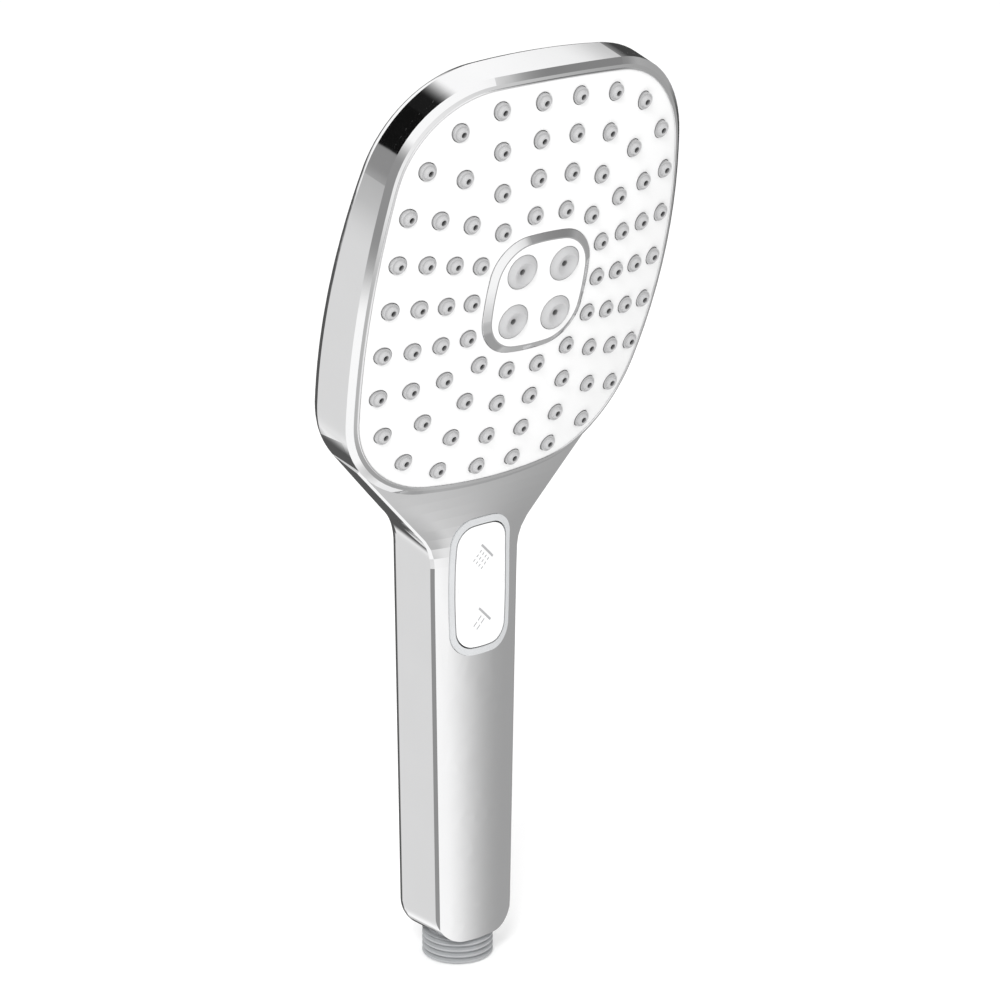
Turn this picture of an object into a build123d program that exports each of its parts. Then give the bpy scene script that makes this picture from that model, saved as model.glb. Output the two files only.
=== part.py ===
from build123d import *
from math import atan2, cos, hypot, pi, radians, sin, sqrt
import os

os.makedirs("parts", exist_ok=True)

# Handheld shower head with two sprays and a rocker diverter.
# Origin: centre of the open end of the inlet thread.  +Z runs up the handle,
# -Y is the side the water leaves, +X is to the right when facing the spray.
# All lengths in millimetres, angles in degrees.

# ------------------------------------------------------------ driving dimensions
# inlet thread, G 1/2
thread_r = 10.4775
thread_root_r = 9.32
thread_pitch = 1.814
thread_end = 7.3

# head
tilt = 14.3
head_y = -36.3
head_z = 208.0
face_rx = 200.0
face_ru = 347.0
plate_top = -2.2
plate_thick = 2.2
mat_thick = 1.6
jet_thick = 2.6
plate_w = 52.5
plate_h = 61.0
head_w = 56.2
head_h = 64.7
side_bow = 200.0
end_bow = 260.0
corner_r = 34.0
back_tilt = 17.8
head_depth = 27.6
rear_round = 6.5
shell_wall = 2.5
skin_thick = 3.0
bevel_in = 1.75
bevel_back = 0.9
side_draft = 0.033

# handle and neck
handle_bottom = 7.5
handle_low_w = 14.0
handle_top_w = 16.2
neck_start = 128.0
flare_angle = 46.0
flare_round = 14.0
edge_y = -7.7
crown_y = -10.7
handle_back = 13.4
bottom_round = 9.0
edge_bevel = 0.9

# nozzles
nozzle_r = 2.45
nozzle_tip_r = 1.4
nozzle_mouth_r = 0.85
nozzle_hole_r = 0.5
nozzle_collar = 0.6
nozzle_rise = 1.5
jet_r = 5.05
jet_tip_r = 3.6
jet_mouth_r = 3.2
jet_hole_r = 0.9
jet_flush = 0.7
jet_rise = 1.3
jet_pitch = 7.55
insert_r = 18.0
insert_round = 12.4
insert_top_r = 15.7
insert_top_round = 10.6
insert_rise = 0.45

# inside parts
room_w = 12.3
collar_r = 9.0
tray_back = -20.6
tray_floor = -18.6
valve_front = -5.6
valve_back = 8.6
bezel_seat = -8.9

# rocker and diverter
rocker_z = 117.5
rocker_w = 9.2
rocker_h = 18.3
rocker_round = 5.8
rocker_proud = 0.4
rocker_back = -9.2
rocker_gap = 0.4
pivot_y = -8.6
lever_r = 8.6
rocker_swing = 8.0
bezel_w = 11.1
bezel_h = 20.65
bezel_round = 7.4
bezel_proud = 0.45
flange_w = 10.3
flange_h = 20.1
flange_round = 6.0
spool_r = 4.4
spool_gap = 0.08
groove_half = 2.2
duct_x = 8.3
duct_r = 1.5

cos_t = cos(radians(tilt))
sin_t = sin(radians(tilt))
head_plane = Plane(origin=(0, head_y, head_z), x_dir=(1, 0, 0), z_dir=(0, -cos_t, -sin_t))


# ------------------------------------------------------------ helpers
def face_u(y, z):
    """Distance up the face plane of a point given by its y and z."""
    return -(y - head_y) * sin_t + (z - head_z) * cos_t


def face_n(y, z):
    """Distance out of the face plane of a point given by its y and z."""
    return -(y - head_y) * cos_t - (z - head_z) * sin_t


def sag(x, u):
    """How far the domed face has fallen away at x, u."""
    drop_x = face_rx - sqrt(face_rx**2 - x**2)
    drop_u = face_ru - sqrt(face_ru**2 - u**2)
    return drop_x + drop_u


def corner_centre(a, b, r):
    """Centre of the corner arc that is tangent to the side and end bows."""
    x1 = a - side_bow
    y2 = b - end_bow
    d1 = side_bow - r
    d2 = end_bow - r
    gap = hypot(x1, y2)
    along = (d1**2 - d2**2 + gap**2) / (2 * gap)
    off = sqrt(d1**2 - along**2)
    ux = -x1 / gap
    uy = y2 / gap
    return (x1 + along * ux - off * uy, along * uy + off * ux)


def cushion(a, b, r):
    """Closed outline with bowed sides and round corners, centred on 0, 0."""
    cx, cy = corner_centre(a, b, r)
    t1 = atan2(cy, cx - a + side_bow)
    t2 = atan2(cy - b + end_bow, cx)
    tm = (t1 + t2) / 2
    p1 = (cx + r * cos(t1), cy + r * sin(t1))
    pm = (cx + r * cos(tm), cy + r * sin(tm))
    p2 = (cx + r * cos(t2), cy + r * sin(t2))
    with BuildSketch() as shape:
        with BuildLine():
            ThreePointArc((p1[0], -p1[1]), (a, 0), p1)
            ThreePointArc(p1, pm, p2)
            ThreePointArc(p2, (0, b), (-p2[0], p2[1]))
            ThreePointArc((-p2[0], p2[1]), (-pm[0], pm[1]), (-p1[0], p1[1]))
            ThreePointArc((-p1[0], p1[1]), (-a, 0), (-p1[0], -p1[1]))
            ThreePointArc((-p1[0], -p1[1]), (-pm[0], -pm[1]), (-p2[0], -p2[1]))
            ThreePointArc((-p2[0], -p2[1]), (0, -b), (p2[0], -p2[1]))
            ThreePointArc((p2[0], -p2[1]), (pm[0], -pm[1]), (p1[0], -p1[1]))
        make_face()
    return shape.sketch


def bowed_box(w, h, bow, r):
    """Rectangle of half sizes w and h, with bowed sides and round corners."""
    with BuildSketch() as shape:
        with BuildLine():
            ThreePointArc((w - bow, bow - h), (w, 0), (w - bow, h - bow))
            ThreePointArc((w - bow, h - bow), (0, h), (bow - w, h - bow))
            ThreePointArc((bow - w, h - bow), (-w, 0), (bow - w, bow - h))
            ThreePointArc((bow - w, bow - h), (0, -h), (w - bow, bow - h))
        make_face()
        fillet(shape.vertices(), r)
    return shape.sketch


def small_cushion(s, r):
    """Outline of the centre insert, half size s and corner radius r."""
    return bowed_box(s, s, s * 0.10, r)


def rocker_outline(margin, base_w, base_h, r):
    """Outline of the rocker or its bezel, grown by a margin."""
    return bowed_box(base_w + margin, base_h + margin, 0.7, r + margin / 2)


def head_prism(outline, front, back):
    """Straight block of an outline between two levels of the head plane."""
    with BuildPart() as block:
        with BuildSketch(head_plane.offset(back)):
            add(outline)
        extrude(amount=front - back)
    return block.part


def dome_slab(front, back):
    """Zone between two parallel domed levels of the face."""
    half = 66.0
    swing = 13.5
    lean = radians(swing)
    axis_y = head_y + face_ru * cos_t
    axis_z = head_z + face_ru * sin_t
    dir_y = -cos_t * cos(lean) - sin_t * sin(lean)
    dir_z = -sin_t * cos(lean) + cos_t * sin(lean)
    start = Plane(origin=(0, axis_y, axis_z), x_dir=(1, 0, 0), z_dir=(0, -dir_z, dir_y))
    front_end = face_ru - face_rx + sqrt((face_rx + front) ** 2 - half**2)
    back_end = face_ru - face_rx + sqrt((face_rx + back) ** 2 - half**2)
    with BuildPart() as zone:
        with BuildSketch(start):
            with BuildLine():
                ThreePointArc((-half, front_end), (0, face_ru + front), (half, front_end))
                Line((half, front_end), (half, back_end))
                ThreePointArc((half, back_end), (0, face_ru + back), (-half, back_end))
                Line((-half, back_end), (-half, front_end))
            make_face()
        revolve(axis=Axis((0, axis_y, axis_z), (1, 0, 0)), revolution_arc=2 * swing)
    return zone.part


def ring_points(half_w, half_h, power, count):
    """Evenly spaced points on a superellipse, mirrored about both midlines."""
    steps = 600
    curve = []
    for i in range(steps + 1):
        t = pi / 2 * i / steps
        curve.append((half_w * cos(t) ** (2 / power) if i < steps else 0.0,
                      half_h * sin(t) ** (2 / power)))
    length = [0.0]
    for i in range(steps):
        step = hypot(curve[i + 1][0] - curve[i][0], curve[i + 1][1] - curve[i][1])
        length.append(length[-1] + step)
    pitch = length[-1] / (count / 4)
    points = [(half_w, 0.0), (-half_w, 0.0)]
    for k in range(1, (count - 2) // 4 + 1):
        i = 0
        while length[i] < k * pitch:
            i += 1
        x, u = curve[i]
        points += [(x, u), (-x, u), (x, -u), (-x, -u)]
    return points


def on_back(p):
    """True for a point on the back surface of the outer body."""
    tan_b = sin(radians(back_tilt)) / cos(radians(back_tilt))
    mid_y = head_y + head_depth * cos_t
    mid_z = head_z + head_depth * sin_t
    slope_y = mid_y - (p.Z - mid_z) * tan_b
    near_bend = abs(p.Z - 140) < 25 and p.Y > 8
    flat = abs(p.Y - handle_back) < 0.05 or abs(p.Y - slope_y) < 0.05
    return flat or (near_bend and abs(p.X) > 8)


def on_rim(p):
    """True for a point on the front rim of the domed head block."""
    n = face_n(p.Y, p.Z)
    u = face_u(p.Y, p.Z)
    return abs(n - plate_top + sag(p.X, u)) < 0.6


def save(name, part):
    """Label a solid and write it as one node."""
    part.label = name
    export_step(part, "parts/" + name + ".step")


# each ring of rain nozzles: half width, half height, squareness, count
rain_rings = [(47.1, 55.6, 3.2, 26), (38.6, 45.2, 3.0, 22), (30.4, 34.4, 2.8, 18), (22.4, 23.7, 2.8, 14)]
rain_points = [point for ring in rain_rings for point in ring_points(*ring)]
jet_points = [(jet_pitch * i, jet_pitch * j) for i in (-1, 1) for j in (-1, 1)]


# ------------------------------------------------------------ outer body
corner_x, corner_u = corner_centre(head_w, head_h, corner_r)
flare_x = sin(radians(flare_angle))
flare_u = -cos(radians(flare_angle))
flare_reach = corner_x * flare_x - corner_u * flare_u + corner_r
low_u = face_u(0, 0)
widen = (handle_top_w - handle_low_w) / (face_u(edge_y, neck_start) - low_u)
side_len = hypot(1, widen)
start_w = handle_low_w - widen * low_u
knee_u = (flare_reach - start_w * flare_x) / (widen * flare_x + flare_u)
round_start = start_w + flare_round * side_len
round_u = (flare_reach + flare_round - round_start * flare_x) / (widen * flare_x + flare_u)
round_x = round_start + widen * round_u


def half_width(u):
    """Half width of the handle and neck at a distance up the head plane."""
    if u < round_u + flare_round * widen / side_len:
        return start_w + widen * u
    if u < round_u - flare_round * flare_u:
        return round_x - sqrt(flare_round**2 - (u - round_u) ** 2)
    return (flare_reach - u * flare_u) / flare_x


def neck_outline():
    """Handle and flared neck, which meets the corners of the head."""
    touch_x = corner_x + corner_r * flare_x
    touch_u = -corner_u + corner_r * flare_u
    knee_w = start_w + widen * knee_u
    inner = touch_x - 8
    with BuildSketch() as shape:
        with BuildLine():
            Polyline(
                (handle_low_w, low_u), (knee_w, knee_u), (touch_x, touch_u), (inner, 0),
                (-inner, 0), (-touch_x, touch_u), (-knee_w, knee_u),
                (-handle_low_w, low_u), (handle_low_w, low_u))
        make_face()
        knees = shape.vertices().filter_by_position(Axis.Y, knee_u - 0.1, knee_u + 0.1)
        fillet(knees, flare_round)
    return shape.sketch


def back_profile(inset):
    """Side view of everything in front of the back surface, less an inset."""
    tan_b = sin(radians(back_tilt)) / cos(radians(back_tilt))
    back_y = handle_back - inset
    mid_y = head_y + head_depth * cos_t - inset / cos(radians(back_tilt))
    mid_z = head_z + head_depth * sin_t
    knee_z = mid_z - (back_y - mid_y) / tan_b
    top_z = mid_z + 80
    top_y = mid_y - 80 * tan_b
    with BuildPart() as block:
        with BuildSketch(Plane.YZ) as side:
            with BuildLine():
                Polyline(
                    (-80, handle_bottom + inset), (back_y, handle_bottom + inset),
                    (back_y, knee_z), (top_y, top_z), (-80, top_z),
                    (-80, handle_bottom + inset))
            make_face()
            bend = side.vertices().filter_by_position(Axis.Y, knee_z - 1, knee_z + 1)
            fillet(bend.sort_by(Axis.X)[-1:], 70)
        extrude(amount=80, both=True)
    return block.part


def front_section(z, shift, lip):
    """Crowned front line of handle and neck at a height, bevelled at the sides."""
    past = (z - neck_start + hypot(z - neck_start, 8)) / 2
    y_edge = edge_y - 0.085 * past
    y_crown = crown_y - 0.04 * past
    w = half_width(face_u(y_edge, z))
    rise = y_edge - y_crown
    radius = (w * w + rise * rise) / (2 * rise)
    turn = w - lip
    y_turn = y_crown + radius - sqrt(radius**2 - turn**2) + shift
    wide = w + 3
    y_wide = y_turn + wide - turn
    with BuildSketch(Plane.XY.offset(z)) as section:
        with BuildLine():
            Line((-wide, y_wide), (-turn, y_turn))
            ThreePointArc((-turn, y_turn), (0, y_crown + shift), (turn, y_turn))
            Polyline((turn, y_turn), (wide, y_wide), (wide, 40), (-wide, 40), (-wide, y_wide))
        make_face()
    return section.sketch


def front_loft(shift):
    """Solid behind the crowned front of handle and neck, moved back by shift."""
    stations = [-2, 60, 116] + [119 + 3 * i for i in range(18)]
    with BuildPart() as block:
        for z in stations:
            add(front_section(z, shift, edge_bevel))
        loft(ruled=True)
    return block.part


def head_block():
    """Cushion block of the head, whose sides widen a little towards the back."""
    with BuildPart() as block:
        for level in (20, -75):
            grow = -side_draft * (level + head_depth)
            with BuildSketch(head_plane.offset(level)):
                add(cushion(head_w + grow, head_h + grow, corner_r + grow))
        loft(ruled=True)
    return block.part


with BuildSketch() as outline:
    add(cushion(head_w, head_h, corner_r))
    add(neck_outline())

with BuildPart() as base:
    add(head_prism(outline.sketch, 40, -75))
    add(back_profile(0), mode=Mode.INTERSECT)
    low = base.edges().filter_by(GeomType.LINE).filter_by_position(Axis.Z, 7, 8)
    fillet(low.filter_by(lambda e: abs(e.center().X) > 8), bottom_round)
    rear = base.edges().filter_by(lambda e: on_back(e.position_at(0.5)))
    fillet(rear, rear_round)

with BuildPart() as pad:
    add(head_block())
    add(dome_slab(plate_top, -60), mode=Mode.INTERSECT)
    rim = pad.edges().filter_by(lambda e: on_rim(e.position_at(0.5)))
    chamfer(rim, bevel_back, bevel_in)

with BuildPart() as head_part:
    add(base.part)
    add(pad.part, mode=Mode.INTERSECT)

with BuildPart() as sides:
    add(head_prism(neck_outline(), 40, -75))
    add(head_block())

with BuildPart() as body:
    add(base.part)
    add(sides.part, mode=Mode.INTERSECT)
    add(front_loft(0), mode=Mode.INTERSECT)
    add(head_part.part)

with BuildPart() as behind_skin:
    add(dome_slab(plate_top - skin_thick, -60))
    add(front_loft(skin_thick))

# ------------------------------------------------------------ rear shell
with BuildPart() as head_room:
    add(head_prism(cushion(head_w - shell_wall, head_h - shell_wall, corner_r - shell_wall), 20, -75))
    add(back_profile(shell_wall), mode=Mode.INTERSECT)
    add(dome_slab(0, -60), mode=Mode.INTERSECT)

with BuildPart() as handle_room:
    with BuildSketch(Plane.XY.offset(handle_bottom + 3)):
        with Locations((0, -1.5)):
            RectangleRounded(2 * room_w, 2 * 12.3, 3)
    extrude(amount=155)
    add(back_profile(shell_wall), mode=Mode.INTERSECT)

pads = [(26, 32), (-26, 32), (26, -32), (-26, -32)]
with BuildPart() as rear_shell:
    add(body.part)
    add(behind_skin.part, mode=Mode.INTERSECT)
    add(head_room.part, mode=Mode.SUBTRACT)
    add(handle_room.part, mode=Mode.SUBTRACT)
    with BuildSketch(head_plane.offset(-29)):
        with Locations(*pads):
            Circle(4)
    extrude(amount=29 + tray_back)
    with BuildSketch(Plane.XZ.offset(-handle_back + 1)):
        with Locations((8.6, 103), (-8.6, 103)):
            Circle(2.8)
    extrude(amount=handle_back - 1 - valve_back)
    add(body.part, mode=Mode.INTERSECT)
    with BuildSketch(Plane.XZ.offset(-12)):
        with Locations((8.6, 103), (-8.6, 103)):
            Circle(1.25)
    extrude(amount=12, mode=Mode.SUBTRACT)
    with Locations((0, 0, 0)):
        Cylinder(collar_r + 0.1, 20, align=(Align.CENTER, Align.CENTER, Align.MIN), mode=Mode.SUBTRACT)

# ------------------------------------------------------------ front frame
with BuildPart() as front_frame:
    add(body.part)
    add(behind_skin.part, mode=Mode.SUBTRACT)
    add(head_prism(cushion(plate_w + 0.25, plate_h + 0.25, corner_r - 3), 20, -40), mode=Mode.SUBTRACT)
    with BuildSketch(Plane.XZ.offset(20)):
        with Locations((0, rocker_z)):
            add(rocker_outline(0.1, bezel_w, bezel_h, bezel_round))
    extrude(amount=-20 - bezel_seat, mode=Mode.SUBTRACT)
    with BuildSketch(Plane.XZ.offset(20)):
        with Locations((0, rocker_z)):
            add(rocker_outline(0.1, flange_w, flange_h, flange_round))
    extrude(amount=-30, mode=Mode.SUBTRACT)
    Cylinder(collar_r + 0.1, 20, align=(Align.CENTER, Align.CENTER, Align.MIN), mode=Mode.SUBTRACT)

# ------------------------------------------------------------ spray face
def on_face(points, level):
    """Places on the domed face at a level, square to the head plane."""
    return [head_plane.location * Location((x, u, level - sag(x, u))) for x, u in points]


def on_flat(points, level):
    """Places on a flat level of the head plane."""
    return [head_plane.location * Location((x, u, level)) for x, u in points]


low_align = (Align.CENTER, Align.CENTER, Align.MIN)
plate_back = plate_top - plate_thick
mat_back = plate_back - mat_thick
jet_back = mat_back - jet_thick
wall_front = jet_back - 0.8

with BuildPart() as face_plate:
    add(head_prism(cushion(plate_w, plate_h, corner_r - 3), 5, -40))
    add(dome_slab(plate_top, plate_back), mode=Mode.INTERSECT)
    with BuildSketch(head_plane.offset(5)):
        with Locations(*rain_points):
            Circle(nozzle_r + 0.2)
        add(small_cushion(insert_r + 0.1, insert_round + 0.1))
    extrude(amount=-40, mode=Mode.SUBTRACT)

with BuildPart() as nozzle_mat:
    add(head_prism(cushion(plate_w - 2, plate_h - 2, corner_r - 5), 5, -40))
    add(dome_slab(plate_back, mat_back), mode=Mode.INTERSECT)
    with Locations(*on_face(rain_points, plate_back - 0.5)):
        Cylinder(nozzle_r, plate_thick + 0.5 + nozzle_collar, align=low_align)
    with Locations(*on_face(rain_points, plate_top + nozzle_collar)):
        Cone(nozzle_r - 0.5, nozzle_tip_r, nozzle_rise - nozzle_collar, align=low_align)
    with Locations(*on_face(rain_points, plate_top)):
        Cylinder(nozzle_mouth_r, nozzle_rise + 1, align=low_align, mode=Mode.SUBTRACT)
    with BuildSketch(head_plane.offset(5)):
        with Locations(*rain_points):
            Circle(nozzle_hole_r)
        add(small_cushion(insert_top_r, insert_top_round))
    extrude(amount=-40, mode=Mode.SUBTRACT)

with BuildPart() as centre_ring:
    with BuildSketch(head_plane.offset(-8)):
        add(small_cushion(insert_r, insert_round))
    extrude(amount=8 + plate_top - 0.5)
    add(dome_slab(4, plate_back), mode=Mode.INTERSECT)
    with BuildSketch(head_plane.offset(plate_top - 0.5)):
        add(small_cushion(insert_r, insert_round))
    with BuildSketch(head_plane.offset(plate_top + insert_rise)):
        add(small_cushion(insert_top_r + 0.4, insert_top_round + 0.4))
    loft()
    with BuildSketch(head_plane.offset(5)):
        add(small_cushion(insert_top_r, insert_top_round))
    extrude(amount=-40, mode=Mode.SUBTRACT)

with BuildPart() as centre_plate:
    with BuildSketch(head_plane.offset(-8)):
        add(small_cushion(insert_top_r, insert_top_round))
    extrude(amount=8 + plate_top + insert_rise)
    add(dome_slab(4, plate_back), mode=Mode.INTERSECT)
    with BuildSketch(head_plane.offset(5)):
        with Locations(*jet_points):
            Circle(jet_r + 0.15)
    extrude(amount=-40, mode=Mode.SUBTRACT)

with BuildPart() as massage_mat:
    add(head_prism(small_cushion(insert_top_r - 0.2, insert_top_round - 0.1), 5, -40))
    add(dome_slab(plate_back, mat_back), mode=Mode.INTERSECT)
    with Locations(*on_face(jet_points, plate_back - 0.6)):
        Cylinder(jet_r, plate_thick + 0.6 + jet_flush, align=low_align)
    with Locations(*on_face(jet_points, plate_top + jet_flush)):
        Cone(jet_r, jet_tip_r, jet_rise, align=low_align)
        Cone(jet_hole_r, jet_mouth_r, jet_rise + 0.02, align=low_align, mode=Mode.SUBTRACT)
    with BuildSketch(head_plane.offset(5)):
        with Locations(*jet_points):
            Circle(jet_hole_r)
    extrude(amount=-40, mode=Mode.SUBTRACT)

# ------------------------------------------------------------ water distributor
tray_w = plate_w - 1.6
tray_h = plate_h - 1.6
tray_r = corner_r - 5
bosses = [(35.5, 43), (-35.5, 43), (35.5, -43), (-35.5, -43), (0, 39.5), (0, -39.5)]
duct_n = face_n(0, 140)

with BuildPart() as jet_plate:
    add(head_prism(cushion(tray_w, tray_h, tray_r), 5, -40))
    add(dome_slab(mat_back, jet_back), mode=Mode.INTERSECT)
    with Locations(*on_flat(bosses, tray_floor)):
        Cylinder(2.8, 10, align=low_align)
    add(dome_slab(mat_back, -40), mode=Mode.INTERSECT)
    with BuildSketch(head_plane.offset(5)):
        with Locations(*rain_points):
            Circle(0.9)
        with Locations(*jet_points):
            Circle(1.3)
    extrude(amount=-40, mode=Mode.SUBTRACT)
    with Locations(*on_flat(bosses, tray_back)):
        Cylinder(1.25, 8.2, align=low_align, mode=Mode.SUBTRACT)

duct_plane = Plane(origin=(0, 0, 140), x_dir=(1, 0, 0), z_dir=(0, -sin_t, cos_t))
port_u = -face_u(0, 140)
with BuildPart() as distributor:
    with BuildSketch(head_plane.offset(tray_back)):
        add(cushion(tray_w, tray_h, tray_r))
    extrude(amount=20)
    add(dome_slab(wall_front, -60), mode=Mode.INTERSECT)
    with BuildSketch(head_plane.offset(tray_floor)):
        add(cushion(tray_w - 2.2, tray_h - 2.2, tray_r - 2))
        add(small_cushion(15.8, 7), mode=Mode.SUBTRACT)
    extrude(amount=20, mode=Mode.SUBTRACT)
    with BuildSketch(head_plane.offset(tray_floor)):
        add(small_cushion(14.0, 5.5))
    extrude(amount=20, mode=Mode.SUBTRACT)
    with BuildSketch(duct_plane.offset(8)):
        with Locations((duct_x, 0), (-duct_x, 0)):
            Circle(3.6)
    extrude(amount=port_u - 8 - 57)
    with BuildSketch(duct_plane.offset(port_u - 59)):
        with Locations((duct_x, 0)):
            Circle(2.5)
    extrude(amount=59 - 13)
    with BuildSketch(duct_plane.offset(port_u - 62)):
        with Locations((duct_x, 0)):
            Circle(duct_r)
    extrude(amount=62 - 12, mode=Mode.SUBTRACT)
    with BuildSketch(duct_plane.offset(port_u - 62)):
        with Locations((-duct_x, 0)):
            Circle(duct_r)
    extrude(amount=62 - 53, mode=Mode.SUBTRACT)
    with BuildSketch(duct_plane.offset(7)):
        with Locations((duct_x, 0), (-duct_x, 0)):
            Circle(2.65)
    extrude(amount=port_u - 7 - 60.5, mode=Mode.SUBTRACT)
    with BuildSketch(head_plane.offset(tray_back)):
        with Locations(*bosses):
            Circle(2.9)
    extrude(amount=1.1, mode=Mode.SUBTRACT)
    with BuildSketch(head_plane.offset(tray_back)):
        with Locations(*bosses):
            Circle(1.5)
    extrude(amount=3, mode=Mode.SUBTRACT)

with BuildPart() as chamber_seal:
    with BuildSketch(head_plane.offset(5)):
        add(cushion(tray_w, tray_h, tray_r))
        add(cushion(tray_w - 2.2, tray_h - 2.2, tray_r - 2), mode=Mode.SUBTRACT)
    extrude(amount=-40)
    add(dome_slab(jet_back, wall_front), mode=Mode.INTERSECT)

with BuildPart() as massage_seal:
    with BuildSketch(head_plane.offset(5)):
        add(small_cushion(15.8, 7))
        add(small_cushion(14.0, 5.5), mode=Mode.SUBTRACT)
    extrude(amount=-40)
    add(dome_slab(jet_back, wall_front), mode=Mode.INTERSECT)

with BuildPart() as distributor_screws:
    with Locations(*on_flat(bosses, tray_back + 1.1)):
        Cylinder(1.2, 6.4, align=low_align)
    with Locations(*on_flat(bosses, tray_back - 0.3)):
        Cylinder(2.6, 1.4, align=low_align)
    with Locations(*on_flat(bosses, tray_back - 0.3)):
        Box(3, 0.6, 0.7, align=low_align, mode=Mode.SUBTRACT)
        Box(0.6, 3, 0.7, align=low_align, mode=Mode.SUBTRACT)

# ------------------------------------------------------------ rocker
def side_bar(x0, x1, circles):
    """Round bars along X through y, z points, from x0 to x1."""
    with BuildPart() as bars:
        with BuildSketch(Plane.YZ.offset(x0)):
            for y, z, r in circles:
                with Locations((y, z)):
                    Circle(r)
        extrude(amount=x1 - x0)
    return bars.part


def rocker_block(outline, back, front):
    """Block of an outline round the rocker's middle, between two depths."""
    with BuildPart() as block:
        with BuildSketch(Plane.XZ.offset(-back)):
            with Locations((0, rocker_z)):
                add(outline)
        extrude(amount=back - front)
    return block.part


with BuildPart() as rocker_bezel:
    add(rocker_block(rocker_outline(0, bezel_w, bezel_h, bezel_round), bezel_seat, -14))
    add(front_loft(-bezel_proud), mode=Mode.INTERSECT)
    add(rocker_block(rocker_outline(0, flange_w, flange_h, flange_round), -6.6, bezel_seat))
    mouth = rocker_outline(rocker_gap, rocker_w, rocker_h, rocker_round)
    add(rocker_block(mouth, 0, -20), mode=Mode.SUBTRACT)
    add(side_bar(-flange_w - 0.5, flange_w + 0.5, [(pivot_y, rocker_z, 1.02)]), mode=Mode.SUBTRACT)


def spray_icon(columns, column_pitch, rows, row_pitch, dash):
    """Slanted head bar with falling drops, centred on the bar."""
    with BuildSketch() as flat:
        Rectangle(6.2, 0.75)
        for i in range(columns):
            for j in range(rows):
                with Locations(((i - (columns - 1) / 2) * column_pitch, -1.1 - dash / 2 - row_pitch * j)):
                    Rectangle(0.42, dash)
    return flat.sketch


icon_floor = -10.75
rocker_crown = front_loft(-rocker_proud)
with BuildPart() as rocker_icons:
    with BuildSketch(Plane.XZ.offset(-icon_floor)):
        with Locations(Location((1.7, rocker_z + 10.1), -45)):
            add(spray_icon(4, 1.3, 3, 1.6, 0.95))
        with Locations(Location((0.9, rocker_z - 8.9), -45)):
            add(spray_icon(2, 1.55, 2, 2.2, 1.75))
    extrude(amount=2)
    add(rocker_crown, mode=Mode.INTERSECT)

with BuildPart() as rocker_button:
    add(rocker_block(rocker_outline(0, rocker_w, rocker_h, rocker_round), rocker_back, -14))
    add(rocker_crown, mode=Mode.INTERSECT)
    add(side_bar(5.6, 8.4, [(pivot_y, rocker_z, 2.1)]))
    add(side_bar(-8.4, -5.6, [(pivot_y, rocker_z, 2.1)]))
    add(side_bar(-12, 12, [(pivot_y, rocker_z, 1.06)]), mode=Mode.SUBTRACT)
    with BuildSketch(Plane.XZ.offset(-rocker_back)):
        with Locations((0, rocker_z)):
            Rectangle(11, 6.4)
    extrude(amount=1.2, mode=Mode.SUBTRACT)
    add(rocker_icons.part, mode=Mode.SUBTRACT)

with BuildPart() as rocker_lever:
    with BuildSketch(Plane.XZ.offset(9.2)):
        with Locations((0, rocker_z)):
            Rectangle(10.8, 6.2)
    extrude(amount=1.2)
    add(side_bar(-4.5, 4.5, [(pivot_y, rocker_z, 1.7)]))
    with Locations((0, (pivot_y - 4.2) / 2, rocker_z)):
        Box(9.0, pivot_y * -1 - 4.2, 2.4)
    for side in (-1, 1):
        with Locations((side * 3.85, pivot_y / 2, rocker_z)):
            Box(1.1, -pivot_y, 2.4)
    add(side_bar(3.3, 4.4, [(0, rocker_z, groove_half - 0.15)]))
    add(side_bar(-4.4, -3.3, [(0, rocker_z, groove_half - 0.15)]))
    add(side_bar(-12, 12, [(pivot_y, rocker_z, 1.06)]), mode=Mode.SUBTRACT)

with BuildPart() as rocker_pin:
    add(side_bar(-flange_w + 0.1, flange_w - 0.1, [(pivot_y, rocker_z, 1.0)]))

# ------------------------------------------------------------ diverter valve
bore = spool_r + spool_gap
valve_low = 96.5
valve_high = 140
port_z = rocker_z + 10.9
swing_rise = lever_r * radians(rocker_swing)

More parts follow.
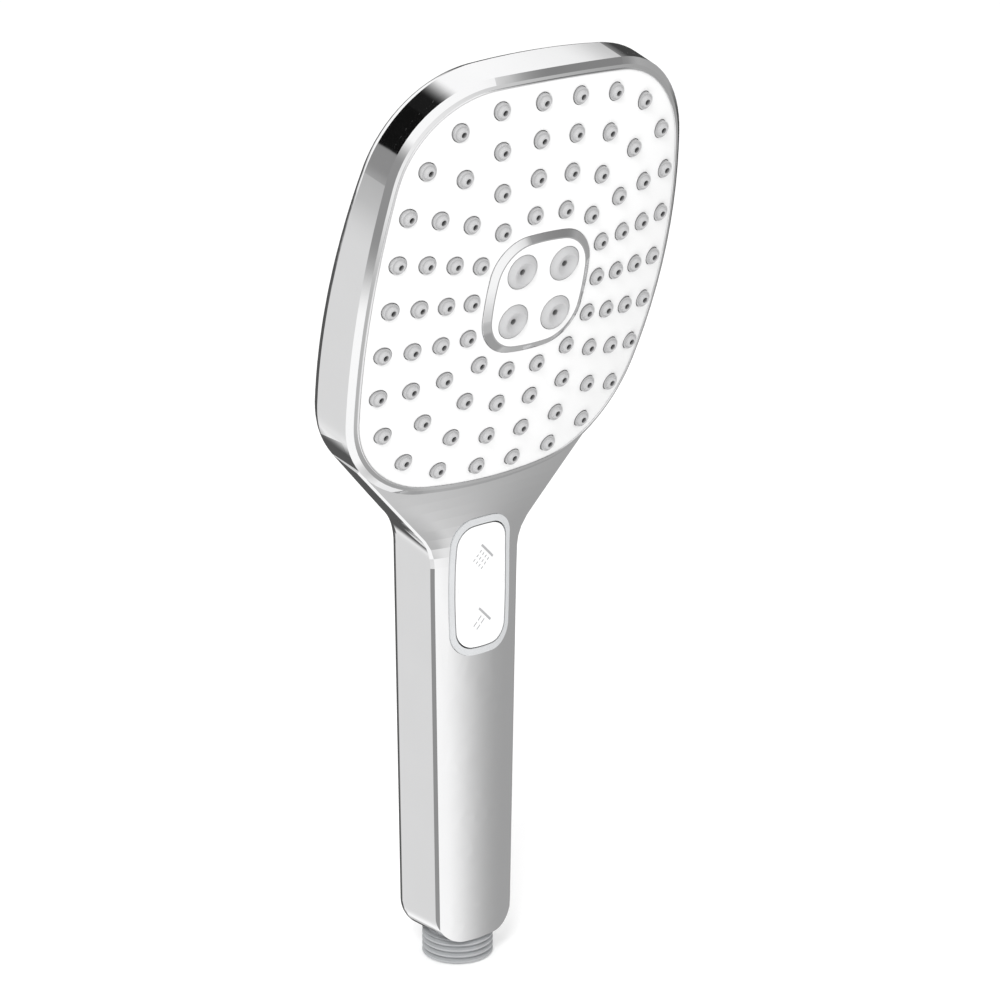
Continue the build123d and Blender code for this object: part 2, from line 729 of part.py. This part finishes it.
with BuildPart() as valve_body:
    with BuildSketch(Plane.XY.offset(valve_low)):
        with Locations((0, (valve_front + valve_back) / 2)):
            RectangleRounded(2 * 11.8, valve_back - valve_front, 2.5)
    extrude(amount=valve_high - valve_low)
    with Locations((0, 0, valve_low - 8)):
        Cylinder(7.2, 8.2, align=low_align)
    with BuildSketch(duct_plane.offset(-4)):
        with Locations((duct_x, 0), (-duct_x, 0)):
            Circle(3.45)
    extrude(amount=10)
    with Locations((0, 0, valve_low + 2)):
        Cylinder(bore, 60, align=low_align, mode=Mode.SUBTRACT)
    with Locations((0, 0, valve_low - 1)):
        Cylinder(3.4, 6, align=low_align, mode=Mode.SUBTRACT)
    with Locations((0, 0, valve_low - 8)):
        Cylinder(6.05, 7, align=low_align, mode=Mode.SUBTRACT)
    with Locations((0, -3, rocker_z)):
        Box(10.2, 11, 8.6, mode=Mode.SUBTRACT)
    for side in (-1, 1):
        with Locations((side * duct_x, 0, port_z - 2)):
            Cylinder(duct_r, valve_high - port_z + 4, align=low_align, mode=Mode.SUBTRACT)
    add(side_bar(0, duct_x, [(0, port_z - swing_rise, 1.25)]), mode=Mode.SUBTRACT)
    add(side_bar(-duct_x, 0, [(0, port_z + swing_rise, 1.25)]), mode=Mode.SUBTRACT)
    with BuildSketch(duct_plane.offset(1.2)):
        with Locations((duct_x, 0), (-duct_x, 0)):
            Circle(2.65)
    extrude(amount=12, mode=Mode.SUBTRACT)
    with BuildSketch(Plane.XZ.offset(10)):
        with Locations((8.6, 103), (-8.6, 103)):
            Circle(1.3)
    extrude(amount=-20, mode=Mode.SUBTRACT)
    with BuildSketch(Plane.XZ.offset(-valve_front)):
        with Locations((8.6, 103), (-8.6, 103)):
            Circle(2.6)
    extrude(amount=-1.4, mode=Mode.SUBTRACT)

with BuildPart() as valve_screws:
    with BuildSketch(Plane.XZ.offset(-valve_front)):
        with Locations((8.6, 103), (-8.6, 103)):
            Circle(2.4)
    extrude(amount=-1.4)
    with BuildSketch(Plane.XZ.offset(-valve_front - 1.4)):
        with Locations((8.6, 103), (-8.6, 103)):
            Circle(1.2)
    extrude(amount=-15.6)
    with BuildSketch(Plane.XZ.offset(-valve_front - 0.7)):
        with Locations((8.6, 103), (-8.6, 103)):
            Rectangle(3, 0.6)
            Rectangle(0.6, 3)
    extrude(amount=2, mode=Mode.SUBTRACT)

ring_heights = [rocker_z - 11, rocker_z + 6.6, rocker_z + 15.1]
with BuildPart() as diverter_spool:
    with Locations((0, 0, rocker_z - 15)):
        Cylinder(spool_r, 32, align=low_align)
    with Locations((0, 0, rocker_z)):
        Cylinder(6, 2 * groove_half, mode=Mode.SUBTRACT)
        Cylinder(2.8, 2 * groove_half + 1)
    for z in ring_heights:
        with Locations((0, 0, z)):
            Cylinder(6, 1.7, mode=Mode.SUBTRACT)
            Cylinder(2.9, 2.7)
    with Locations((0, 0, rocker_z - 15)):
        Cylinder(1.7, 29, align=low_align, mode=Mode.SUBTRACT)
    with Locations(Location((0, 0, port_z), (0, 90, 0)), Location((0, 0, port_z), (90, 0, 0))):
        Cylinder(1.1, 12, mode=Mode.SUBTRACT)

with BuildPart() as spool_rings:
    with Locations(*[(0, 0, z) for z in ring_heights]):
        Torus(3.66, 0.74)

with BuildPart() as valve_cap:
    with Locations((0, 0, valve_high - 3)):
        Cylinder(bore - 0.03, 3, align=low_align)
    with Locations((0, 0, valve_high - 1.5)):
        Cylinder(6, 1.0, mode=Mode.SUBTRACT)
        Cylinder(3.6, 1.2)
    with Locations((0, 0, valve_high - 0.9)):
        Cylinder(2.2, 2, align=low_align, mode=Mode.SUBTRACT)

with BuildPart() as cap_ring:
    with Locations((0, 0, valve_high - 1.5)):
        Torus(4.02, 0.42)

# ------------------------------------------------------------ ducts and inlet
def duct(side):
    """Straight duct from the valve to the distributor."""
    with BuildPart() as tube:
        with BuildSketch(duct_plane.offset(1.4)):
            with Locations((side * duct_x, 0)):
                Circle(2.6)
        extrude(amount=port_u - 1.4 - 60.7)
        with BuildSketch(duct_plane.offset(1.4)):
            with Locations((side * duct_x, 0)):
                Circle(duct_r)
        extrude(amount=30, mode=Mode.SUBTRACT)
        for level in duct_levels:
            with BuildSketch(duct_plane.offset(level - 0.4)):
                with Locations((side * duct_x, 0)):
                    Circle(4)
                    Circle(2.0, mode=Mode.SUBTRACT)
            extrude(amount=0.8, mode=Mode.SUBTRACT)
    return tube.part


duct_levels = [3.4, port_u - 63]
rain_duct = duct(-1)
massage_duct = duct(1)

with BuildPart() as duct_rings:
    for level in duct_levels:
        for side in (-1, 1):
            with Locations(duct_plane.location * Location((side * duct_x, 0, level))):
                Torus(2.33, 0.3)

with BuildPart() as water_tube:
    with Locations((0, 0, 26)):
        Cylinder(6.0, valve_low - 27.5, align=low_align)
        Cylinder(4.6, valve_low - 27.5, align=low_align, mode=Mode.SUBTRACT)
    with Locations((0, 0, 29), (0, 0, 92)):
        Cylinder(8, 0.9, mode=Mode.SUBTRACT)
        Cylinder(5.3, 1.2)
        Cylinder(4.6, 1.3, mode=Mode.SUBTRACT)

with BuildPart() as tube_rings:
    with Locations((0, 0, 29), (0, 0, 92)):
        Torus(5.67, 0.36)


def thread_profile():
    """Outline of the inlet connector, radius against height."""
    points = [(8.0, 0), (thread_r, 0)]
    z = 0
    while z + thread_pitch < thread_end:
        points += [(thread_r, z + 0.45), (thread_root_r, z + 1.0), (thread_root_r, z + 1.25)]
        z += thread_pitch
        points += [(thread_r, z)]
    points += [(thread_r, z + 0.1), (collar_r, z + 0.2), (collar_r, 10.6), (10, 10.6)]
    points += [(10, 13), (7.3, 13.6), (7.3, 32), (6.06, 32), (6.06, 25.6), (4.6, 25.6)]
    points += [(4.6, 23), (5.6, 23), (5.6, 11.2), (6.6, 11.2), (6.6, 2.2), (8.0, 2.2), (8.0, 0)]
    return points


def turned(points):
    """Solid turned about Z from a radius and height outline."""
    with BuildPart() as piece:
        with BuildSketch(Plane.XZ):
            with BuildLine():
                Polyline(*points, close=True)
            make_face()
        revolve(axis=Axis.Z)
    return piece.part


with BuildPart() as inlet_connector:
    add(turned(thread_profile()))
    with Locations((0, -11.7, 10.6)):
        Box(30, 10, 3, align=low_align, mode=Mode.SUBTRACT)

with BuildPart() as inlet_strainer:
    with Locations((0, 0, 1.2)):
        Cylinder(7.9, 0.9, align=low_align)
        Cylinder(6.6, 0.4, align=low_align, mode=Mode.SUBTRACT)
    with Locations((0, 0, 1.2)):
        with GridLocations(1.55, 1.55, 7, 7):
            Box(1.1, 1.1, 2, align=low_align, mode=Mode.SUBTRACT)

with BuildPart() as flow_limiter:
    with Locations((0, 0, 2.4)):
        Cylinder(6.5, 6.2, align=low_align)
        with PolarLocations(3.9, 6):
            Cylinder(1.0, 7, align=low_align, mode=Mode.SUBTRACT)
        Cylinder(5.4, 1.6, align=low_align, mode=Mode.SUBTRACT)
        Cylinder(1.8, 1.6, align=low_align)
    with Locations((0, 0, 6.2)):
        Cylinder(8, 1.1, mode=Mode.SUBTRACT)
        Cylinder(5.6, 1.2)
        with PolarLocations(3.9, 6):
            Cylinder(1.0, 3, mode=Mode.SUBTRACT)

with BuildPart() as limiter_ring:
    with Locations((0, 0, 6.2)):
        Torus(6.09, 0.46)

check_body = turned([(5.5, 11.4), (5.5, 22.6), (1.2, 22.6), (1.2, 20.6), (4.4, 20.6), (4.4, 13.4),
                     (2.9, 12.4), (2.9, 11.4)])
with BuildPart() as check_cage:
    add(check_body)
    with Locations((0, 0, 20)):
        with PolarLocations(2.9, 5):
            Cylinder(1.15, 4, align=low_align, mode=Mode.SUBTRACT)

check_poppet = turned([(0, 11.9), (2.0, 11.9), (3.5, 13.4), (3.5, 14.6), (1.1, 14.6),
                       (1.1, 22.0), (0, 22.0)])

with BuildPart() as check_spring:
    with BuildLine():
        Helix(pitch=1.15, height=5.3, radius=1.9, center=(0, 0, 14.95))
    with BuildSketch(Plane(origin=(1.9, 0, 14.95), x_dir=(1, 0, 0), z_dir=(0, 1, 0))):
        Circle(0.24)
    sweep(is_frenet=True)

# ------------------------------------------------------------ nodes
save("rear_shell", rear_shell.part)
save("front_frame", front_frame.part)
save("face_plate", face_plate.part)
save("nozzle_mat", nozzle_mat.part)
save("centre_ring", centre_ring.part)
save("centre_plate", centre_plate.part)
save("massage_mat", massage_mat.part)
save("jet_plate", jet_plate.part)
save("chamber_seal", chamber_seal.part)
save("massage_seal", massage_seal.part)
save("distributor", distributor.part)
save("distributor_screws", distributor_screws.part)
save("rocker_bezel", rocker_bezel.part)
save("rocker_button", rocker_button.part)
save("rocker_icons", rocker_icons.part)
save("rocker_lever", rocker_lever.part)
save("rocker_pin", rocker_pin.part)
save("valve_body", valve_body.part)
save("valve_screws", valve_screws.part)
save("valve_cap", valve_cap.part)
save("cap_ring", cap_ring.part)
save("diverter_spool", diverter_spool.part)
save("spool_rings", spool_rings.part)
save("rain_duct", rain_duct)
save("massage_duct", massage_duct)
save("duct_rings", duct_rings.part)
save("water_tube", water_tube.part)
save("tube_rings", tube_rings.part)
save("inlet_connector", inlet_connector.part)
save("inlet_strainer", inlet_strainer.part)
save("flow_limiter", flow_limiter.part)
save("limiter_ring", limiter_ring.part)
save("check_cage", check_cage.part)
save("check_poppet", check_poppet)
save("check_spring", check_spring.part)
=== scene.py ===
from math import atan2, cos, hypot, pi, radians, sin, sqrt

import bmesh
import bpy
from mathutils import Matrix, Vector


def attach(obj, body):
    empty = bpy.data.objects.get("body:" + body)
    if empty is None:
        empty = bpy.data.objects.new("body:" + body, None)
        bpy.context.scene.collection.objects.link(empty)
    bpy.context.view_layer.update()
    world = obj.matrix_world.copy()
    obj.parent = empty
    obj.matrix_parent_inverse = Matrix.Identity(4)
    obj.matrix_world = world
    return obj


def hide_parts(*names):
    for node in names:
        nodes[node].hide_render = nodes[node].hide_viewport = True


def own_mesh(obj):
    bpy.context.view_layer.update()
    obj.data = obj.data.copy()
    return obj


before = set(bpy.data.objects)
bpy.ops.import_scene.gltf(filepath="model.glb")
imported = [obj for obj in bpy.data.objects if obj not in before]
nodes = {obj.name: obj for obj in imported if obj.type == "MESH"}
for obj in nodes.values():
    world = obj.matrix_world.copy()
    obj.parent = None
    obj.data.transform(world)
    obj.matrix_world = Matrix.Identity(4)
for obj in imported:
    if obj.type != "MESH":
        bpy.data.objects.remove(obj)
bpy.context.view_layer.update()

# ------------------------------------------------------------ view and room
CAMERA_AT = Vector((-0.6235, -0.7478, 0.4612))
CAMERA_LOOK = Vector((0.6172, 0.7218, -0.3131))
CAMERA_UP = Vector((0.2005, 0.2405, 0.9497))
LENS_MM = 129.45
FLOOR_Z = -0.0006
FLOOR_REACH = 6.0
FLOOR_GLOW = 0.16

# soft lamp over the front left
KEY_AT = (-0.95, -0.75, 1.15)
KEY_TARGET = (0, -0.03, 0.2)
KEY_SIZE = (0.5, 0.5)
KEY_POWER = 11

# domed spray face, in metres
TILT = radians(14.3)
FACE_CENTRE = Vector((0, -0.0363, 0.208))
DOME_ACROSS = 0.200
DOME_ALONG = 0.347
SIDE_BOW = 0.200
END_BOW = 0.260
PLATE_TOP = -0.0022
PLATE_W = 0.0525
PLATE_H = 0.061
PLATE_CORNER = 0.031
BEAD_THICK = 0.0005
BEAD_MARGIN = 0.0002

# check valve spring, in metres
SPRING_R = 0.0019
SPRING_PITCH = 0.00115
SPRING_HEIGHT = 0.0053
SPRING_Z = 0.01495
WIRE_R = 0.00024
WIRE_SIDES = 12
STEPS_A_TURN = 36

# how far the shade painted into crevices reaches on silicone and on the white plates, and how dark the
# painted shade makes the white plates
SILICONE_REACH = 0.0016
WHITE_REACH = 0.003
WHITE_PAINTED_SHADE = 0.62

# brightness of the room: on matt surfaces, behind the object, and in shiny surfaces
ROOM_LIGHT = 0.92
BACKDROP = 1.1
ROOM_BRIGHT = 1.12
ROOM_RIGHT = 0.40
RIGHT_CARD = (0.94, -0.113, -0.313)
# direction, outer edge and inner edge in degrees, brightness
CARDS = [((-0.617, 0.722, -0.313), 42, 18, 0.80),
         ((0.15, -0.60, -0.78), 24, 12, 0.55),
         ((0.20, -0.28, -0.94), 20, 14, 0.40),
         ((-0.74, -0.62, -0.26), 20, 8, 0.30),
         ((0.72, -0.64, 0.26), 25, 8, 0.26),
         ((-0.50, -0.60, -0.20), 24, 10, 0.32),
         ((0.62, -0.30, 0.70), 30, 12, 0.16),
         ((0.30, 0.90, -0.31), 32, 20, 0.10),
         ((0.76, 0.62, 0.0), 32, 16, 0.06),
         ((-0.78, 0.55, 0.30), 28, 8, 0.30),
         ((-0.42, 0.47, 0.78), 32, 14, 0.012),
         ((-0.58, 0.52, 0.62), 17, 15.5, 0.006)]


def add_camera():
    """Camera at the photograph's viewing angle."""
    data = bpy.data.cameras.new("camera")
    data.sensor_width = 36.0
    data.lens = LENS_MM
    data.clip_start = 0.01
    camera = bpy.data.objects.new("camera", data)
    back = -CAMERA_LOOK.normalized()
    right = CAMERA_UP.cross(back).normalized()
    up = back.cross(right)
    turn = Matrix((right, up, back)).transposed().to_4x4()
    camera.matrix_world = Matrix.Translation(CAMERA_AT) @ turn
    bpy.context.scene.collection.objects.link(camera)
    bpy.context.scene.camera = camera


def add_softbox(name, place, target, size, power):
    """Rectangular area light at place, facing target, that shiny surfaces don't mirror."""
    data = bpy.data.lights.new(name, "AREA")
    data.shape = "RECTANGLE"
    data.size, data.size_y = size
    data.energy = power
    lamp = bpy.data.objects.new(name, data)
    lamp.location = place
    lamp.rotation_euler = (Vector(target) - Vector(place)).to_track_quat("-Z", "Y").to_euler()
    lamp.visible_glossy = False
    bpy.context.scene.collection.objects.link(lamp)


# ------------------------------------------------------------ shader helpers
class Nodes:
    """Short calls for building one node tree."""

    def __init__(self, tree):
        self.tree = tree

    def add(self, kind, **values):
        node = self.tree.nodes.new(kind)
        for key, value in values.items():
            setattr(node, key, value)
        return node

    def link(self, source, target):
        self.tree.links.new(source, target)

    def noise(self, coords, scale, detail=3.0, rough=0.5):
        node = self.add("ShaderNodeTexNoise")
        node.inputs["Scale"].default_value = scale
        node.inputs["Detail"].default_value = detail
        node.inputs["Roughness"].default_value = rough
        self.link(coords, node.inputs["Vector"])
        return node.outputs["Fac"]

    def span(self, value, low, high):
        """Maps a 0 to 1 value onto low to high."""
        node = self.add("ShaderNodeMapRange")
        node.inputs["To Min"].default_value = low
        node.inputs["To Max"].default_value = high
        self.link(value, node.inputs["Value"])
        return node.outputs["Result"]

    def mix(self, factor, first, second):
        node = self.add("ShaderNodeMix", data_type="RGBA")
        self.link(factor, node.inputs[0])
        node.inputs[6].default_value = (*first, 1)
        node.inputs[7].default_value = (*second, 1)
        return node.outputs[2]

    def occlusion(self, reach):
        """1 on open surfaces, falling to 0 where others stand within reach."""
        node = self.add("ShaderNodeAmbientOcclusion", samples=12)
        node.inputs["Distance"].default_value = reach
        return node.outputs["AO"]

    def mottle(self, colour, factor, least):
        """Colour dimmed in patches, down to least times its value."""
        node = self.add("ShaderNodeMix", data_type="RGBA", blend_type="MULTIPLY")
        node.inputs[0].default_value = 1.0
        self.link(colour, node.inputs[6])
        self.link(self.span(factor, 1.0, least), node.inputs[7])
        return node.outputs[2]

    def toward(self, ray, axis, low, high, start, end):
        """Number that goes from start to end as the ray turns towards an axis."""
        dot = self.add("ShaderNodeVectorMath", operation="DOT_PRODUCT")
        self.link(ray, dot.inputs[0])
        dot.inputs[1].default_value = Vector(axis).normalized()
        ramp = self.add("ShaderNodeMapRange", interpolation_type="SMOOTHSTEP")
        ramp.inputs["From Min"].default_value = low
        ramp.inputs["From Max"].default_value = high
        ramp.inputs["To Min"].default_value = start
        ramp.inputs["To Max"].default_value = end
        self.link(dot.outputs["Value"], ramp.inputs["Value"])
        return ramp.outputs["Result"]

    def card(self, level, ray, axis, outer, inner, value):
        """Round card of one brightness, seen from outer to inner degrees off its axis."""
        share = self.toward(ray, axis, cos(radians(outer)), cos(radians(inner)), 0, 1)
        mix = self.add("ShaderNodeMix")
        self.link(share, mix.inputs[0])
        self.link(level, mix.inputs[2])
        mix.inputs[3].default_value = value
        return mix.outputs[0]

    def bump(self, height, strength, distance):
        node = self.add("ShaderNodeBump")
        node.inputs["Strength"].default_value = strength
        node.inputs["Distance"].default_value = distance
        self.link(height, node.inputs["Height"])
        return node.outputs["Normal"]


def start(name):
    """New material with its node helper, its surface shader and object coordinates."""
    material = bpy.data.materials.new(name)
    material.use_nodes = True
    helper = Nodes(material.node_tree)
    shader = material.node_tree.nodes["Principled BSDF"]
    coords = helper.add("ShaderNodeTexCoord").outputs["Object"]
    return material, helper, shader, coords


# ------------------------------------------------------------ materials
def chrome(name, base=0.86, tint=(1.0, 1.0, 1.005)):
    """Polished plated plastic with faint waviness and wiping marks."""
    material, n, shader, coords = start(name)
    bright = [base * t for t in tint]
    dull = [base * 0.96 * t for t in tint]
    n.link(n.mix(n.noise(coords, 60), bright, dull), shader.inputs["Base Color"])
    shader.inputs["Metallic"].default_value = 1.0
    n.link(n.span(n.noise(coords, 220, 5, 0.6), 0.03, 0.075), shader.inputs["Roughness"])
    n.link(n.bump(n.noise(coords, 300, 2), 0.01, 0.0003), shader.inputs["Normal"])
    return material


def gloss_white(name, base=0.9):
    """Glossy moulded white plastic, with shade painted into its colour where other surfaces stand close.
    """
    material, n, shader, coords = start(name)
    # painted shade: the white goes darker where other surfaces stand within WHITE_REACH, as in crevices
    # and round the nozzles
    painted_shade_colour = n.mix(n.occlusion(WHITE_REACH), (base * WHITE_PAINTED_SHADE,) * 3, (base,) * 3)
    n.link(n.mottle(painted_shade_colour, n.noise(coords, 40), 0.98), shader.inputs["Base Color"])
    n.link(n.span(n.noise(coords, 400, 4), 0.16, 0.26), shader.inputs["Roughness"])
    n.link(n.bump(n.noise(coords, 900, 2), 0.03, 0.0002), shader.inputs["Normal"])
    shader.inputs["Coat Weight"].default_value = 0.25
    shader.inputs["Coat Roughness"].default_value = 0.08
    return material


def moulded(name, colour, rough=(0.32, 0.5), grain=0.08):
    """Moulded plastic with a fine spark-eroded grain."""
    material, n, shader, coords = start(name)
    darker = [c * 0.9 for c in colour]
    n.link(n.mix(n.noise(coords, 120, 4), colour, darker), shader.inputs["Base Color"])
    n.link(n.span(n.noise(coords, 600, 3), *rough), shader.inputs["Roughness"])
    n.link(n.bump(n.noise(coords, 2500, 3), grain, 0.0003), shader.inputs["Normal"])
    return material


def silicone(name, light, dark):
    """Soft matt silicone, with shade painted into its colour where other surfaces stand close."""
    material, n, shader, coords = start(name)
    # painted shade: the silicone goes towards the dark colour where other surfaces stand within
    # SILICONE_REACH
    painted_shade_colour = n.mix(n.occlusion(SILICONE_REACH), dark, light)
    n.link(n.mottle(painted_shade_colour, n.noise(coords, 300, 4), 0.94), shader.inputs["Base Color"])
    n.link(n.span(n.noise(coords, 900, 3), 0.42, 0.6), shader.inputs["Roughness"])
    n.link(n.bump(n.noise(coords, 1800, 4), 0.06, 0.0003), shader.inputs["Normal"])
    shader.inputs["Sheen Weight"].default_value = 0.1
    return material


def steel(name):
    """Bright turned steel with fine lines."""
    material, n, shader, coords = start(name)
    n.link(n.mix(n.noise(coords, 500, 5), (0.62, 0.62, 0.63), (0.5, 0.5, 0.52)),
           shader.inputs["Base Color"])
    shader.inputs["Metallic"].default_value = 1.0
    n.link(n.span(n.noise(coords, 1500, 4), 0.2, 0.38), shader.inputs["Roughness"])
    n.link(n.bump(n.noise(coords, 3000, 2), 0.05, 0.0002), shader.inputs["Normal"])
    return material


def rubber(name):
    """Black rubber ring with a greasy film."""
    material, n, shader, coords = start(name)
    n.link(n.mix(n.noise(coords, 400, 4), (0.015, 0.015, 0.016), (0.035, 0.035, 0.036)),
           shader.inputs["Base Color"])
    n.link(n.span(n.noise(coords, 1200, 3), 0.3, 0.55), shader.inputs["Roughness"])
    n.link(n.bump(n.noise(coords, 2500, 3), 0.08, 0.0002), shader.inputs["Normal"])
    return material


def paint(material, *names):
    """Gives CAD nodes a material."""
    for name in names:
        slots = nodes[name].material_slots
        for slot in slots:
            slot.link = "OBJECT"
            slot.material = material


plated = chrome("plated")
paint(plated, "rear_shell", "front_frame")
paint(chrome("ring_plating", 0.84), "centre_ring")
paint(gloss_white("plate_white"), "face_plate", "centre_plate")
paint(gloss_white("rocker_white"), "rocker_button")
# the nozzle silicone's second, near-black colour is the shade painted into its crevices
paint(silicone("nozzle_silicone", (0.50, 0.50, 0.505), (0.05, 0.05, 0.05)), "nozzle_mat", "massage_mat")
paint(moulded("bezel_grey", (0.6, 0.61, 0.62), (0.3, 0.45), 0.03), "rocker_bezel")
paint(moulded("icon_grey", (0.42, 0.42, 0.43)), "rocker_icons")
paint(moulded("inlet_grey", (0.42, 0.43, 0.44)), "inlet_connector")
paint(moulded("housing_grey", (0.3, 0.31, 0.32)), "jet_plate", "distributor")
paint(moulded("acetal", (0.78, 0.78, 0.74)), "rocker_lever", "diverter_spool", "check_poppet")
paint(moulded("valve_black", (0.05, 0.05, 0.055)), "valve_body", "valve_cap")
paint(moulded("rain_pipe", (0.55, 0.56, 0.57)), "rain_duct", "water_tube")
paint(moulded("massage_pipe", (0.2, 0.3, 0.42)), "massage_duct")
paint(moulded("strainer_green", (0.08, 0.25, 0.12)), "inlet_strainer", "flow_limiter")
paint(moulded("cage_blue", (0.1, 0.18, 0.36)), "check_cage")
bright_steel = steel("bright_steel")
paint(bright_steel, "distributor_screws", "valve_screws", "rocker_pin", "check_spring")
paint(rubber("black_rubber"), "chamber_seal", "massage_seal", "cap_ring", "spool_rings", "duct_rings",
      "tube_rings", "limiter_ring")


# ------------------------------------------------------------ rim bead
def corner_centre(a, b, r):
    """Centre of the corner arc that is tangent to the side and end bows."""
    x1, u2 = a - SIDE_BOW, b - END_BOW
    d1, d2 = SIDE_BOW - r, END_BOW - r
    gap = hypot(x1, u2)
    along = (d1**2 - d2**2 + gap**2) / (2 * gap)
    off = sqrt(d1**2 - along**2)
    return (x1 - (along * x1 + off * u2) / gap, (along * u2 - off * x1) / gap)


def arc(centre, radius, start, end, count):
    """Points along an arc, its end left out."""
    steps = [start + (end - start) * i / count for i in range(count)]
    return [(centre[0] + radius * cos(t), centre[1] + radius * sin(t)) for t in steps]


def cushion(a, b, r):
    """Outline of the spray face, half width a and half height b, as a closed list of points."""
    cx, cu = corner_centre(a, b, r)
    t1 = atan2(cu, cx - a + SIDE_BOW)
    t2 = atan2(cu - b + END_BOW, cx)
    quarter = arc((a - SIDE_BOW, 0), SIDE_BOW, 0, t1, 10)
    quarter += arc((cx, cu), r, t1, t2, 24)
    quarter += arc((0, b - END_BOW), END_BOW, t2, pi / 2, 10)
    top = quarter + [(0, b)] + [(-x, u) for x, u in reversed(quarter[1:])]
    return top + [(-a, 0)] + [(x, -u) for x, u in reversed(top[1:])]


def on_dome(x, u, level):
    """Point of the domed face, level above its crown."""
    sag = DOME_ACROSS - sqrt(DOME_ACROSS**2 - x**2) + DOME_ALONG - sqrt(DOME_ALONG**2 - u**2)
    out = Vector((0, -cos(TILT), -sin(TILT)))
    up = Vector((0, -sin(TILT), cos(TILT)))
    return FACE_CENTRE + Vector((x, 0, 0)) + up * u + out * (level - sag)


def add_bead(name, points, thick, material):
    """Thin round bead along a closed line of points."""
    curve = bpy.data.curves.new(name, "CURVE")
    curve.dimensions = "3D"
    curve.bevel_depth = thick / 2
    curve.bevel_resolution = 4
    spline = curve.splines.new("POLY")
    spline.points.add(len(points) - 1)
    for point, place in zip(spline.points, points):
        point.co = (*place, 1)
    spline.use_cyclic_u = True
    curve.materials.append(material)
    bead = bpy.data.objects.new(name, curve)
    bpy.context.scene.collection.objects.link(bead)
    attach(bead, "housing")
    return bead


ring_chrome = chrome("bead_plating", 0.84)
rim_outline = cushion(PLATE_W + BEAD_MARGIN, PLATE_H + BEAD_MARGIN, PLATE_CORNER)
rim_line = [on_dome(x, u, PLATE_TOP) for x, u in rim_outline]
bead = add_bead("rim_bead", rim_line, BEAD_THICK, ring_chrome)

# ------------------------------------------------------------ check valve spring
def add_coil(name, material):
    """Round wire spring on the inlet's axis."""
    turns = SPRING_HEIGHT / SPRING_PITCH
    steps = round(turns * STEPS_A_TURN)
    angles = [2 * pi * k / WIRE_SIDES for k in range(WIRE_SIDES)]
    form = bmesh.new()
    rings = []
    for i in range(steps + 1):
        turn = 2 * pi * turns * i / steps
        out = Vector((cos(turn), sin(turn), 0))
        along = Vector((-sin(turn) * SPRING_R, cos(turn) * SPRING_R, SPRING_PITCH / (2 * pi)))
        side = along.normalized().cross(out)
        middle = out * SPRING_R + Vector((0, 0, SPRING_Z + SPRING_HEIGHT * i / steps))
        rings.append([form.verts.new(middle + (out * cos(a) + side * sin(a)) * WIRE_R) for a in angles])
    for first, second in zip(rings, rings[1:]):
        for k in range(WIRE_SIDES):
            after = (k + 1) % WIRE_SIDES
            form.faces.new((first[k], first[after], second[after], second[k]))
    form.faces.new(rings[0])
    form.faces.new(rings[-1])
    bmesh.ops.recalc_face_normals(form, faces=form.faces)
    for face in form.faces:
        face.smooth = len(face.verts) == 4
    mesh = bpy.data.meshes.new(name)
    form.to_mesh(mesh)
    form.free()
    mesh.materials.append(material)
    spring = bpy.data.objects.new(name, mesh)
    bpy.context.scene.collection.objects.link(spring)
    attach(spring, "housing")
    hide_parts("check_spring")
    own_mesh(spring)


add_coil("check_coil", bright_steel)

# ------------------------------------------------------------ room
def add_floor():
    """Plain pale floor under the inlet."""
    mesh = bpy.data.meshes.new("floor")
    corners = [(-1, -1), (1, -1), (1, 1), (-1, 1)]
    mesh.from_pydata([(x * FLOOR_REACH, y * FLOOR_REACH, FLOOR_Z) for x, y in corners], [], [(0, 1, 2, 3)])
    floor = bpy.data.objects.new("floor", mesh)
    bpy.context.scene.collection.objects.link(floor)
    material, n, shader, coords = start("floor_white")
    n.link(n.mix(n.noise(coords, 3), (0.93, 0.93, 0.93), (0.91, 0.91, 0.91)), shader.inputs["Base Color"])
    shader.inputs["Roughness"].default_value = 0.9
    shader.inputs["Emission Color"].default_value = (1, 1, 1, 1)
    shader.inputs["Emission Strength"].default_value = FLOOR_GLOW
    mesh.materials.append(material)
    floor.visible_glossy = False


def studio_world():
    """White studio: even light for matt surfaces, and bright and dark cards for shiny ones."""
    world = bpy.data.worlds.new("studio")
    bpy.context.scene.world = world
    world.use_nodes = True
    n = Nodes(world.node_tree)
    shiny = world.node_tree.nodes["Background"]
    plain = n.add("ShaderNodeBackground")
    plain.inputs["Color"].default_value = (1, 1, 1, 1)
    ray = n.add("ShaderNodeTexCoord").outputs["Generated"]
    level = n.toward(ray, RIGHT_CARD, 0.2, 1.0, ROOM_BRIGHT, ROOM_RIGHT)
    for axis, outer, inner, value in CARDS:
        level = n.card(level, ray, axis, outer, inner, value)
    n.link(level, shiny.inputs["Strength"])
    shiny.inputs["Color"].default_value = (1, 1, 1, 1)
    path = n.add("ShaderNodeLightPath")
    n.link(n.span(path.outputs["Is Camera Ray"], ROOM_LIGHT, BACKDROP), plain.inputs["Strength"])
    mix = n.add("ShaderNodeMixShader")
    n.link(path.outputs["Is Glossy Ray"], mix.inputs["Fac"])
    n.link(plain.outputs[0], mix.inputs[1])
    n.link(shiny.outputs[0], mix.inputs[2])
    n.link(mix.outputs[0], world.node_tree.nodes["World Output"].inputs["Surface"])


add_camera()
add_floor()
studio_world()
add_softbox("key", KEY_AT, KEY_TARGET, KEY_SIZE, KEY_POWER)

bpy.context.scene.view_settings.view_transform = "Standard"
